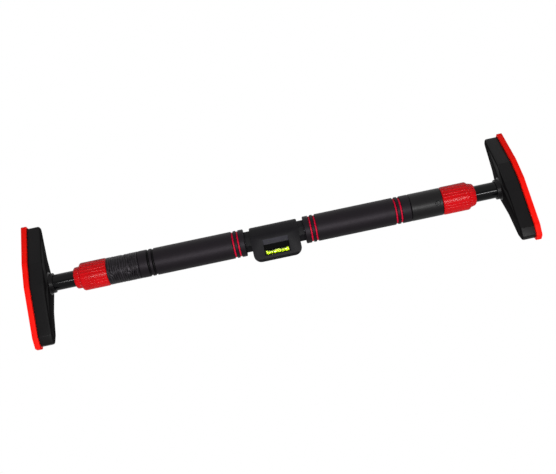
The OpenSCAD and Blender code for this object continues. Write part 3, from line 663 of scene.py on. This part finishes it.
def makeBands(side, sign):
    s = gripShape
    half = (s["grooveWidth"] / 2 - s["bandSink"]) * mm
    floor = gripR - s["grooveDepth"] * mm + s["bandSink"] * mm
    foot, around = s["bandFoot"] * mm, s["bandRound"] * mm
    for kind, centres in grooveCentres(side):
        node = f"{side}_{kind}_rings"
        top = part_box(node)[1].z
        work = bmesh.new()
        for c in centres:
            section = softLoop([
                (Vector((c - half, floor, 0)), foot), (Vector((c - half, top, 0)), around),
                (Vector((c + half, top, 0)), around), (Vector((c + half, floor, 0)), foot),
            ])
            ring = gridMesh("ring", [
                [Vector((sign * p.x, p.y * math.sin(a), p.y * math.cos(a))) for p in section]
                for a in angles(s["bandSegments"])
            ])
            work.from_mesh(ring)
            bpy.data.meshes.remove(ring)
        mesh = bpy.data.meshes.new(f"{side}{kind.title()}Bands")
        work.to_mesh(mesh)
        work.free()
        settle(finishMesh(mesh.name, mesh, slotFinish[slotOf[node]]), node)


for side, sign in sides:
    makeGrip(side, sign)
    makeBands(side, sign)
print("grips and bands made")


# the left end sleeve is shrunk and wrinkled; the smooth right one is the solid itself

sleeveShape = {
    "clearance": 0.05,      # to the tube and the ferrule, mm
    "shoulderGap": 0.1,
    "edge": 0.7,
    "segments": 220,
    "longestRun": 0.00035,  # metres
    "skinDepth": 1.2,       # only this much of it is wrinkled
    "wrinkleDepth": 1.05,
    "wrinkleSpacing": 2.8,
    "wrinkleWander": 15.0,  # how far a fold runs round before it bends, and along
    "wanderLength": 9,
    "wander": 1.6,          # in folds
    "jitter": 0.5,          # how uneven the folds' spacing is, and its noise steps round and along
    "jitterRound": 2.3,
    "jitterAlong": 0.7,
    "foldPower": 1.6,       # above 1: broad crests and narrow valleys
    "patchLength": 11,
    "patchRound": 0.8,
    "patchContrast": 1.4,
    "patchStart": (5, 2),
    "leastPatch": 0.35,     # share of the depth that is left between patches of folds
    "plainRim": 0.6,        # smooth rim, and how far in the folds get their full depth
    "plainEnd": 3.0,
}


def makeWrinkledSleeve():
    s = sleeveShape
    low, high = sleeveLow.x, sleeveHigh.x
    bore = tubeR + s["clearance"] * mm
    shoulder = ferruleStart - s["shoulderGap"] * mm
    wide = ferruleR + s["clearance"] * mm
    corners = [
        (low, bore, 0), (low, gripR, s["edge"] * mm), (high, gripR, s["edge"] * mm),
        (high, wide, 0), (shoulder, wide, 0), (shoulder, bore, 0),
    ]

    def shape(x, r, a):
        if r < gripR - s["skinDepth"] * mm:
            return x, r
        # folds run round the sleeve, wander along it and fade out at its ends
        around = Vector((math.sin(a), math.cos(a), 0)) * (gripR / (s["wrinkleWander"] * mm))
        wander = noise.noise(around + Vector((0, 0, x / (s["wanderLength"] * mm)))) * s["wander"]
        phase = x / (s["wrinkleSpacing"] * mm) + wander
        spot = around * s["jitterRound"] + Vector((0, 0, phase * s["jitterAlong"]))
        jitter = s["jitter"] * noise.noise(spot)
        fold = abs((phase + jitter) % 1 - 0.5) * 2
        spot = around * s["patchRound"] + Vector((*s["patchStart"], x / (s["patchLength"] * mm)))
        share = max(0, min(1, 0.5 + s["patchContrast"] * noise.noise(spot)))
        patch = s["leastPatch"] + (1 - s["leastPatch"]) * share
        inside = min(x - low, high - x) - s["plainRim"] * mm
        ends = min(1, max(0, inside / (s["plainEnd"] * mm)))
        return x, r - s["wrinkleDepth"] * mm * fold ** s["foldPower"] * patch * ends

    piece = turned("leftShrunkSleeve", corners, -1, sleevePaintedFolds, s["segments"], steps=3,
                   longest=s["longestRun"], shape=shape, crease=60)
    settle(piece, "left_end_sleeve")


makeWrinkledSleeve()
print("end sleeve made")


# lock button in the right sleeve

buttonShape = {
    "dip": 27,              # degrees below the front
    "stand": 1.0,           # how far the cap stands out of the sleeve, mm
    "capRound": 0.9,
    "dish": 0.35,
    "dishShare": 0.62,      # of the cap's radius
    "dishRound": 0.6,
    "flange": 1.0,          # how far the flange stands past the cap
    "flangeSink": 2.1,
    "flangeThick": 1.0,
    "flangeRound": 0.2,
    "footRound": 0.1,
    "segments": 72,
}


def makeButton():
    s = buttonShape
    low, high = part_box("lock_button")
    middle = Vector(((low.x + high.x) / 2, 0, 0))
    flangeR = (high.x - low.x) / 2
    capR = flangeR - s["flange"] * mm
    dip = math.radians(s["dip"])
    side = Vector((1, 0, 0))
    out = Vector((0, -math.cos(dip), -math.sin(dip)))
    across = out.cross(side)
    top = gripR + s["stand"] * mm
    flangeTop = gripR - s["flangeSink"] * mm
    bottom = flangeTop - s["flangeThick"] * mm
    section = softLoop([
        (Vector((0, bottom, 0)), 0),
        (Vector((flangeR, bottom, 0)), s["footRound"] * mm),
        (Vector((flangeR, flangeTop, 0)), s["flangeRound"] * mm),
        (Vector((capR, flangeTop, 0)), 0),
        (Vector((capR, top, 0)), s["capRound"] * mm),
        (Vector((capR * s["dishShare"], top, 0)), s["dishRound"] * mm),
        (Vector((0, top - s["dish"] * mm, 0)), 0),
    ], steps=5)
    columns = [
        [middle + out * p.y + (side * math.cos(a) + across * math.sin(a)) * p.x for p in section]
        for a in angles(s["segments"])
    ]
    piece = finishMesh("lockButtonCap", gridMesh("lockButtonCap", columns), slotFinish[slotOf["lock_button"]])
    settle(piece, "lock_button")


makeButton()
print("lock button made")


# locking collars: a turned body, with ribs set round it by geometry nodes

collarShape = {
    "edge": 1.6,
    "threadBore": 17.35,
    "threadRound": 0.3,
    "clampGap": 0.05,
    "noseLong": 9.5,
    "noseRoot": {"left": 15.7, "right": 17.6},
    "noseTip": {"left": 14.9, "right": 15.0},
    "waistRound": 0.5,
    "tipLong": 1.6,         # the tip's rounding starts here, a little wider than it ends
    "tipSwell": 0.5,
    "tipRound": 0.8,
    "tipDraw": 0.2,
    "tipEdge": 0.7,
    "noseBore": 12.6,
    "noseBoreRound": 0.4,
    "segments": 104,
    "ribCount": 26,
    "ribHigh": 0.6,         # how far the ribs stand out
    "ribDeep": 1.0,         # half of a rib's full depth, most of it sunk in
    "ribWidth": 3.7,
    "ribMargin": 1.0,       # how far the ribs end before the body does
    "noseRibSlim": 0.76,    # share of the body rib's width
    "noseRibShort": 0.6,
    "noseRibOver": 0.5,
    "noseRibBack": 0.2,
    "noseRibLean": 0.3,     # how much less the ribs lean than the nose does
}

# share of a rib's length, and how full it is there
ribShape = {
    "swell": ((0, 0.35), (0.02, 0.8), (0.05, 1), (0.95, 1), (0.98, 0.8), (1, 0.35)),
    "endWidth": 0.15,       # its ends draw in less across than in height
    "sides": 14,
}


def ribRingTree():
    # sets bars on a ring round X: each bar starts at a station and leans towards the axis
    tree = bpy.data.node_groups.new("ribRing", "GeometryNodeTree")
    sockets = {}
    for label, kind, start in (
        ("Rib", "NodeSocketObject", None), ("Rib count", "NodeSocketInt", 26),
        ("Ring radius", "NodeSocketFloat", 0.018), ("Station", "NodeSocketFloat", 0.2),
        ("Finish", "NodeSocketMaterial", None),
    ):
        made = tree.interface.new_socket(name=label, in_out="INPUT", socket_type=kind)
        if start is not None:
            made.default_value = start
        sockets[label] = made.identifier
    tree.interface.new_socket(name="Ribs", in_out="OUTPUT", socket_type="NodeSocketGeometry")
    given = addNode(tree, "NodeGroupInput").outputs
    ring = addNode(tree, "GeometryNodeMeshCircle",
                   links={"Vertices": given["Rib count"], "Radius": given["Ring radius"]})
    rib = addNode(tree, "GeometryNodeObjectInfo", links={"Object": given["Rib"]})
    place = addNode(tree, "GeometryNodeInputPosition")
    # a bar's Z points along the bar; its X is turned to face away from the axis
    face = addNode(tree, "FunctionNodeAlignRotationToVector", {"axis": "X", "pivot_axis": "Z"},
                   links={"Vector": place.outputs[0]})
    placed = addNode(tree, "GeometryNodeInstanceOnPoints",
                     links={"Points": ring.outputs[0], "Instance": rib.outputs["Geometry"],
                            "Rotation": face.outputs[0]})
    shift = addNode(tree, "ShaderNodeCombineXYZ", links={"X": given["Station"]})
    turn = addNode(tree, "GeometryNodeTransform", values={"Rotation": (0, math.pi / 2, 0)},
                   links={"Geometry": placed.outputs[0], "Translation": shift.outputs[0]})
    real = addNode(tree, "GeometryNodeRealizeInstances", links={"Geometry": turn.outputs[0]})
    paint = addNode(tree, "GeometryNodeSetMaterial",
                    links={"Geometry": real.outputs[0], "Material": given["Finish"]})
    addNode(tree, "NodeGroupOutput", links={0: paint.outputs[0]})
    return tree, sockets


def ribBar(name, along, half, deep, lean):
    # one rib as a small flattened bar along Z, its crest towards +X, with its ends drawn in
    sides = ribShape["sides"]
    loops = []
    for share, swell in ribShape["swell"]:
        centre = -deep - lean * share
        across = half * min(1, swell + ribShape["endWidth"])
        loops.append([
            Vector((centre + deep * swell * math.cos(a), across * math.sin(a), share * along))
            for a in angles(sides)
        ])
    faces = [
        (i * sides + k, i * sides + (k + 1) % sides, (i + 1) * sides + (k + 1) % sides, (i + 1) * sides + k)
        for i in range(len(loops) - 1) for k in range(sides)
    ]
    faces.append(tuple(range(sides - 1, -1, -1)))
    faces.append(tuple((len(loops) - 1) * sides + k for k in range(sides)))
    mesh = bpy.data.meshes.new(name)
    mesh.from_pydata([tuple(p) for loop in loops for p in loop], [], faces)
    return addObject(name, mesh)


def ribRing(name, tree, sockets, bar, radius, station):
    # a full ring of ribs as a plain mesh; the bar is used up
    holder = addObject(name, bpy.data.meshes.new(name))
    ringer = holder.modifiers.new("ribs", "NODES")
    ringer.node_group = tree
    given = {"Rib": bar, "Rib count": collarShape["ribCount"], "Ring radius": radius,
             "Station": station, "Finish": collarFinish}
    for label, value in given.items():
        ringer[sockets[label]] = value
    mesh = bake(holder)
    bpy.data.objects.remove(bar)
    return mesh


def makeCollar(side, sign, tree, sockets):
    s = collarShape
    node = f"{side}_collar"
    low, high = collarLow.x, collarHigh.x
    waist = high - s["noseLong"] * mm
    bodyR = collarHigh.z - s["ribHigh"] * mm
    rootR = s["noseRoot"][side] * mm
    tipR = s["noseTip"][side] * mm
    edge = s["edge"] * mm
    thread = s["threadBore"] * mm
    bore = s["noseBore"] * mm
    inner = clampEnd + s["clampGap"] * mm
    corners = [
        (low, thread, s["threadRound"] * mm), (low, bodyR, edge), (waist, bodyR, edge),
        (waist, rootR, s["waistRound"] * mm),
        (high - s["tipLong"] * mm, tipR + s["tipSwell"] * mm, s["tipRound"] * mm),
        (high, tipR - s["tipDraw"] * mm, s["tipEdge"] * mm),
        (high, bore, s["noseBoreRound"] * mm), (inner, bore, 0), (inner, thread, 0),
    ]
    settle(turned(f"{side}CollarBody", corners, sign, collarFinish, s["segments"]), node)
    half = s["ribWidth"] / 2 * mm
    deep = s["ribDeep"] * mm
    bar = ribBar("gripRib", waist - low - 2 * s["ribMargin"] * mm, half, deep, 0)
    grip = ribRing("gripRibs", tree, sockets, bar, bodyR + s["ribHigh"] * mm, low + s["ribMargin"] * mm)
    bar = ribBar("noseRib", (s["noseLong"] - s["noseRibShort"]) * mm, half * s["noseRibSlim"], deep,
                 rootR - tipR - s["noseRibLean"] * mm)
    nose = ribRing("noseRibs", tree, sockets, bar, rootR + s["noseRibOver"] * mm,
                   waist - s["noseRibBack"] * mm)
    for label, mesh in (("CollarRibs", grip), ("NoseRibs", nose)):
        if sign < 0:
            mesh.transform(Matrix.Scale(-1, 4, Vector((1, 0, 0))))
        ribs = finishMesh(side + label, mesh, collarFinish, crease=40)
        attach(ribs, bodyOf[node])


ribTree, ribSockets = ribRingTree()
for side, sign in sides:
    makeCollar(side, sign, ribTree, ribSockets)
print("collars made")


# end plates: an eight-cornered dish drawn up to a round socket

plateShape = {
    # (height, half width) of the pad's corners in use, top first, millimetres
    "outline": ((93, 7), (30, 23.5), (-5, 26), (-79, 14), (-92.5, 6)),
    "twist": {"left": 4, "right": -11},
    "padEdge": 0.7,
    "padOver": 3.2,         # how far the pad stands past the plate
    "padGap": 0.3,
    "cornerRound": 3.0,
    "innerRound": 1.0,
    "arcSteps": 5,
    "edgeStep": 6,          # straight runs are split at about this length
    "wall": 3.0,
    "openEdge": 0.5,
    "openEdgeIn": 0.4,
    "sideWall": 19.0,
    "rimRound": 3.4,
    "ridgeShare": 0.87,     # the face is flat from the rim to here, and dished inside
    "ridgeRound": 0.8,
    "dishShare": 0.79,
    "dish": 1.5,
    "dishRound": 1.6,
    "dishFade": 8,          # the dish gets shallow this near to the socket
    "socketHigh": 6.5,
    "peak": 16.53,
    "rootRound": 2.2,
    "shoulder": ((0.6, 0.9, 0.5), (1.2, 0, 0.4)),  # past the peak, over the socket's radius, rounding
    "socket": 14.63,
    "socketBore": 13.13,
    "mouthBack": 0.2,       # how far the mouth lies behind the bush's flange
    "mouthRound": 0.5,
    "mouthOver": 0.6,
    "mouthEdge": 0.2,
    "lip": 3.0,
    "coreGap": 0.1,
    "peakBack": 1.4,        # how far the inside lies behind the outside, in wall thicknesses
    "rimBack": 0.7,
    "faceStart": 0.6,       # the face's texture starts this far outside the peak
    "faceTurn": 0.8,        # and where the surface faces along the bar by this much
}


def plateOutline(inset, rounding):
    # (y, z, normal angle) round the plate, with straight runs split
    right = [(w, h) for h, w in plateShape["outline"]]
    corners = [Vector(p) for p in right] + [Vector((-w, h)) for w, h in reversed(right)]
    count = len(corners)

    def outward(a, b):
        along = (b - a).normalized()
        return Vector((-along.y, along.x))

    steps = plateShape["arcSteps"]
    samples = []
    for i in range(count):
        n0 = outward(corners[i - 1], corners[i])
        n1 = outward(corners[i], corners[(i + 1) % count])
        centre = corners[i] - (inset + rounding) * (n0 + n1) / (1 + n0.dot(n1))
        a0 = math.atan2(n0.y, n0.x)
        sweep = math.atan2(n0.x * n1.y - n0.y * n1.x, n0.dot(n1))
        for k in range(steps + 1):
            a = a0 + sweep * k / steps
            samples.append((centre + rounding * Vector((math.cos(a), math.sin(a))), a))
    out = []
    for i, (point, a) in enumerate(samples):
        ahead, b = samples[(i + 1) % len(samples)]
        straight = abs(a - b) < 1e-6
        parts = max(1, int((ahead - point).length / plateShape["edgeStep"])) if straight else 1
        out += [(point.lerp(ahead, k / parts), a) for k in range(parts)]
    return out


def makePlate(side, sign):
    s = plateShape
    opening = padStart - s["padGap"] * mm
    rim = opening - s["sideWall"] * mm
    peak = bushLow.x + s["socketHigh"] * mm
    mouth = bushLow.x + s["mouthBack"] * mm
    lip = bushLow.x + s["lip"] * mm
    deep = coreStart - s["coreGap"] * mm
    wall = s["wall"] * mm
    turn = Matrix.Rotation(math.radians(s["twist"][side]), 3, "X")
    outer = plateOutline(s["padOver"], s["cornerRound"])
    inner = plateOutline(s["padOver"] + s["wall"], s["innerRound"])
    columns = []
    for (edge, a), (edgeIn, _) in zip(outer, inner):
        away = Vector((0, math.cos(a), math.sin(a)))
        foot = Vector((0, edge.x, edge.y)) * mm
        footIn = Vector((0, edgeIn.x, edgeIn.y)) * mm
        run = foot.length - s["peak"] * mm

        def at(x, r):
            return Vector((x, 0, 0)) + away * r * mm

        def onFace(share, sink):
            fall = min(1, (1 - share) * foot.length / run)
            near = (share * foot.length - s["peak"] * mm) / (s["dishFade"] * mm)
            shallow = max(0, min(1, near))
            return Vector((rim + (peak - rim) * fall + sink * shallow, 0, 0)) + foot * share

        loop = softLoop([
            (Vector((opening, 0, 0)) + foot, s["openEdge"] * mm),
            (Vector((rim, 0, 0)) + foot, s["rimRound"] * mm),
            (onFace(s["ridgeShare"], 0), s["ridgeRound"] * mm),
            (onFace(s["dishShare"], s["dish"] * mm), s["dishRound"] * mm),
            (at(peak, s["peak"]), s["rootRound"] * mm),
            *((at(peak - past * mm, s["socket"] + over), around * mm)
              for past, over, around in s["shoulder"]),
            (at(mouth, s["socket"]), s["mouthRound"] * mm),
            (at(mouth, s["socketBore"] + s["mouthOver"]), s["mouthEdge"] * mm),
            (at(lip, s["socketBore"] + s["mouthOver"]), 0),
            (at(lip, s["socketBore"]), 0),
            (at(deep, s["socketBore"]), 0),
            (at(deep, s["socket"]), 0),
            (at(peak + wall * s["peakBack"], s["socket"]), 0),
            (Vector((rim + wall * s["rimBack"], 0, 0)) + footIn, s["rimRound"] * mm),
            (Vector((opening, 0, 0)) + footIn, s["openEdgeIn"] * mm),
        ])
        columns.append([])
        for p in loop:
            q = turn @ Vector((0, p.y, p.z))
            columns[-1].append(Vector((sign * p.x, q.y, q.z)))
    name = f"{side}PlateBody"
    piece = finishMesh(name, gridMesh(name, columns), plateFinish, crease=32)
    # the sloping face has a coarser, matt texture, and the wall and socket are smooth
    piece.data.materials.append(faceFinish)
    for face in piece.data.polygons:
        beyond = math.hypot(face.center.y, face.center.z) > (s["peak"] + s["faceStart"]) * mm
        if beyond and -sign * face.normal.x > s["faceTurn"]:
            face.material_index = 1
    settle(piece, f"{side}_plate_body")


for side, sign in sides:
    makePlate(side, sign)
    eased(f"{side}_pad", f"{side}Pad", padFinish, plateShape["padEdge"])
print("end plates made")


# sliding tubes and their bushes

tubeShape = {
    "wall": 1.5,
    "endRound": 0.4,
    "segments": 144,
    "longestRun": 0.03,     # metres
    "bushRun": 0.08,        # clearance round the tube, mm
    "bushWall": 1.0,
    "bushOver": 0.4,        # how far the flange stands past the bush
    "bushFlange": 2.95,
    "mouthRound": 0.25,
    "flangeRound": 0.45,
    "bushRound": 0.2,
    "bushSegments": 112,
}


def makeTubes(side, sign):
    s = tubeShape
    bore = slideR - s["wall"] * mm
    corners = [
        (slideLow.x, bore, 0), (slideLow.x, slideR, s["endRound"] * mm),
        (slideHigh.x, slideR, s["endRound"] * mm), (slideHigh.x, bore, 0),
    ]
    tube = turned(f"{side}SlideTube", corners, sign, paintFinish, s["segments"], steps=3,
                  longest=s["longestRun"])
    settle(tube, f"{side}_slide_tube")
    bore = slideR + s["bushRun"] * mm
    outer = slideR + (s["bushRun"] + s["bushWall"]) * mm
    flangeR = outer + s["bushOver"] * mm
    flangeEnd = bushLow.x + s["bushFlange"] * mm
    corners = [
        (bushLow.x, bore, s["mouthRound"] * mm), (bushLow.x, flangeR, s["flangeRound"] * mm),
        (flangeEnd, flangeR, 0), (flangeEnd, outer, 0),
        (bushHigh.x, outer, s["bushRound"] * mm), (bushHigh.x, bore, 0),
    ]
    bush = turned(f"{side}SocketBush", corners, sign, blackNylon, s["bushSegments"], steps=3)
    settle(bush, f"{side}_socket_bush")


for side, sign in sides:
    makeTubes(side, sign)
print("tubes made")


# coupling sleeve and the level's housing

levelShape = {
    "sleeveEdge": 0.5,
    "edge": 0.8,
    "dip": 20,              # degrees the level faces down to the user
    "slope": (-7.5, -4.6),  # y and z of the way the window's sloping top faces, before the dip
    "windowSide": 19,
    "windowDepth": (0.3, 7),
    "slopeMatch": 0.995,    # cosines for telling the faces apart
    "faceMatch": 0.99,
}


def makeLevel():
    s = levelShape
    eased("coupling_sleeve", "couplingSleeve", shellFinish, s["sleeveEdge"])
    shell = eased("level_front_shell", "levelFrontShell", shellFinish, s["edge"], segments=3).data
    eased("level_back_shell", "levelBackShell", shellFinish, s["edge"], segments=3)
    # the window's top is smoother than the grained shell and painted paler, a painted highlight; its back and
    # sides are matt and painted near black, painted shade in the recess
    shell.materials.append(slopePaintedHighlight)
    shell.materials.append(pocketPaintedShade)
    turn = Matrix.Rotation(math.radians(s["dip"]), 3, "X")
    facing = turn @ Vector((0, -1, 0))
    slope = turn @ Vector((0, *s["slope"])).normalized()
    front = max(v.co.dot(facing) for v in shell.vertices)
    nearest, deepest = s["windowDepth"]
    for face in shell.polygons:
        deep = front - face.center.dot(facing)
        beside = abs(face.center.x) < s["windowSide"] * mm
        inWindow = beside and nearest * mm < deep < deepest * mm
        square = face.normal.dot(facing) > s["faceMatch"] or abs(face.normal.x) > s["faceMatch"]
        if face.normal.dot(slope) > s["slopeMatch"]:
            # painted highlight on the window's sloping top
            face.material_index = 1
        elif inWindow and square:
            # painted shade on the window's back and sides
            face.material_index = 2


makeLevel()
print("level made")
